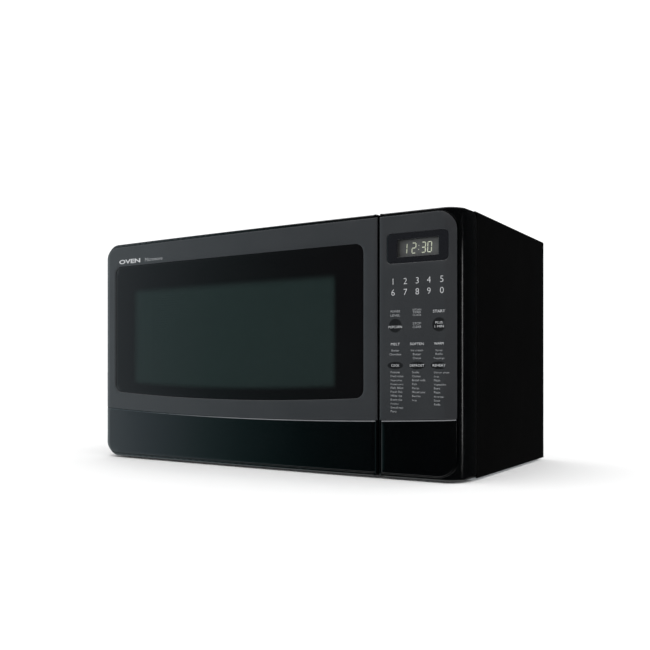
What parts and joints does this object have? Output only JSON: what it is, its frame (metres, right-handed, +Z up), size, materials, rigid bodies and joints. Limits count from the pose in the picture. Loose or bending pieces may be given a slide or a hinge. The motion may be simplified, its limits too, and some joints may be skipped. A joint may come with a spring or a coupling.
{
  "type": "microwave oven",
  "caption": "Boxy black microwave oven with a bowed front, left-hinged windowed door, flat keypad and display, release button, cavity with glass turntable, and power parts behind the panel.",
  "frame": {"origin": "on the surface that the feet stand on, under the middle of the oven's bounding box", "axes": "+Z up, -Y out of the front, +X to the right of someone facing the oven"},
  "size_m": [0.61, 0.34, 0.333],
  "materials": {
    "painted_cabinet": "fine satin black paint",
    "gloss_black": "polished black moulding",
    "satin_grey": "fine-grained satin charcoal skin",
    "smoked_window": "smoked glossy pane with a printed border",
    "clear_glass": "clear polished glass",
    "display_glass": "dark glossy bezel",
    "display_cell": "grey liquid crystal cell",
    "plated_steel": "zinc-plated sheet",
    "enamelled_cavity": "light grey cavity paint",
    "dark_metal": "black painted sheet",
    "dark_plastic": "textured black plastic",
    "white_plastic": "off-white moulded plastic",
    "copper_winding": "varnished copper winding and laminations",
    "black_rubber": "matt rubber",
    "circuit_board": "green lacquered board",
    "mica_sheet": "pale mica sheet"
  },
  "bodies": {
    "root": {"cabinet_shell": "painted_cabinet", "base_plate": "plated_steel", "rear_panel": "plated_steel", "cord_gland": "black_rubber", "foot_1": "black_rubber", "foot_2": "black_rubber", "foot_3": "black_rubber", "foot_4": "black_rubber", "rear_screw_1": "plated_steel", "rear_screw_2": "plated_steel", "rear_screw_3": "plated_steel", "rear_screw_4": "plated_steel", "front_plate": "dark_metal", "oven_cavity": "enamelled_cavity", "waveguide": "plated_steel", "waveguide_cover": "mica_sheet", "lamp_socket": "white_plastic", "lamp_bulb": "clear_glass", "thermostat": "dark_plastic", "magnetron": "plated_steel", "transformer": "copper_winding", "capacitor": "plated_steel", "diode": "dark_plastic", "filter_board": "circuit_board", "fan_shroud": "dark_plastic", "fan_motor": "plated_steel", "turntable_motor": "plated_steel", "control_frame": "gloss_black", "control_fascia": "satin_grey", "keypad": "satin_grey", "display_window": "display_glass", "display_module": "display_cell", "control_board": "circuit_board", "latch_bracket": "white_plastic", "interlock_switch_1": "dark_plastic", "interlock_switch_2": "dark_plastic", "interlock_switch_3": "dark_plastic", "hinge_lower": "plated_steel", "hinge_upper": "plated_steel"},
    "door": {"door_frame": "gloss_black", "door_fascia": "satin_grey", "door_lower_panel": "gloss_black", "door_window": "smoked_window", "choke_frame": "dark_metal", "door_screen": "dark_metal", "inner_pane": "clear_glass", "choke_cover": "dark_plastic", "latch_spring": "plated_steel"},
    "latch": {"latch_head": "white_plastic"},
    "button": {"open_button": "gloss_black"},
    "lever": {"release_lever": "white_plastic"},
    "coupler": {"turntable_coupler": "white_plastic"},
    "tray": {"glass_tray": "clear_glass"},
    "ring": {"roller_ring": "white_plastic"},
    "roller_a": {"roller_1": "white_plastic"},
    "roller_b": {"roller_2": "white_plastic"},
    "roller_c": {"roller_3": "white_plastic"},
    "fan": {"fan_blade": "white_plastic"}
  },
  "joints": [
    {"name": "door_hinge", "type": "hinge", "parent": "root", "child": "door", "pos_m": [-0.2915, -0.135, 0.168], "axis": [0, 0, -1], "range_deg": [0, 100]},
    {"name": "latch_slide", "type": "slide", "parent": "door", "child": "latch", "axis": [0, 0, 1], "range_m": [0, 0.006], "stiffness_N_per_m": 400, "springref_m": -0.002, "deforming": ["latch_spring"]},
    {"name": "button_press", "type": "slide", "parent": "root", "child": "button", "axis": [0, 1, 0], "range_m": [0, 0.005], "stiffness_N_per_m": 800, "springref_m": -0.001},
    {"name": "lever_turn", "type": "hinge", "parent": "root", "child": "lever", "pos_m": [0.191, -0.112, 0.068], "axis": [1, 0, 0], "range_deg": [0, 12]},
    {"name": "turntable_spin", "type": "hinge", "parent": "root", "child": "coupler", "pos_m": [-0.05, 0.016, 0.05], "axis": [0, 0, 1], "continuous": true},
    {"name": "tray_lift", "type": "slide", "parent": "coupler", "child": "tray", "axis": [0, 0, 1], "range_m": [0, 0.04]},
    {"name": "ring_spin", "type": "hinge", "parent": "root", "child": "ring", "pos_m": [-0.05, 0.016, 0.0543], "axis": [0, 0, 1], "continuous": true},
    {"name": "roller_1_spin", "type": "hinge", "parent": "ring", "child": "roller_a", "pos_m": [0.043, 0.016, 0.0543], "axis": [1, 0, 0], "continuous": true},
    {"name": "roller_2_spin", "type": "hinge", "parent": "ring", "child": "roller_b", "pos_m": [-0.0965, 0.09654, 0.0543], "axis": [-0.5, 0.866, 0], "continuous": true},
    {"name": "roller_3_spin", "type": "hinge", "parent": "ring", "child": "roller_c", "pos_m": [-0.0965, -0.06454, 0.0543], "axis": [-0.5, -0.866, 0], "continuous": true},
    {"name": "fan_spin", "type": "hinge", "parent": "root", "child": "fan", "pos_m": [0.236, 0.136, 0.15], "axis": [0, 1, 0], "continuous": true}
  ],
  "couplings": [
    {"joint": "lever_turn", "follows": "button_press", "rad_per_m": 40},
    {"joint": "ring_spin", "follows": "turntable_spin", "ratio": 0.5},
    {"joint": "roller_1_spin", "follows": "turntable_spin", "ratio": -5.8125},
    {"joint": "roller_2_spin", "follows": "turntable_spin", "ratio": -5.8125},
    {"joint": "roller_3_spin", "follows": "turntable_spin", "ratio": -5.8125}
  ]
}
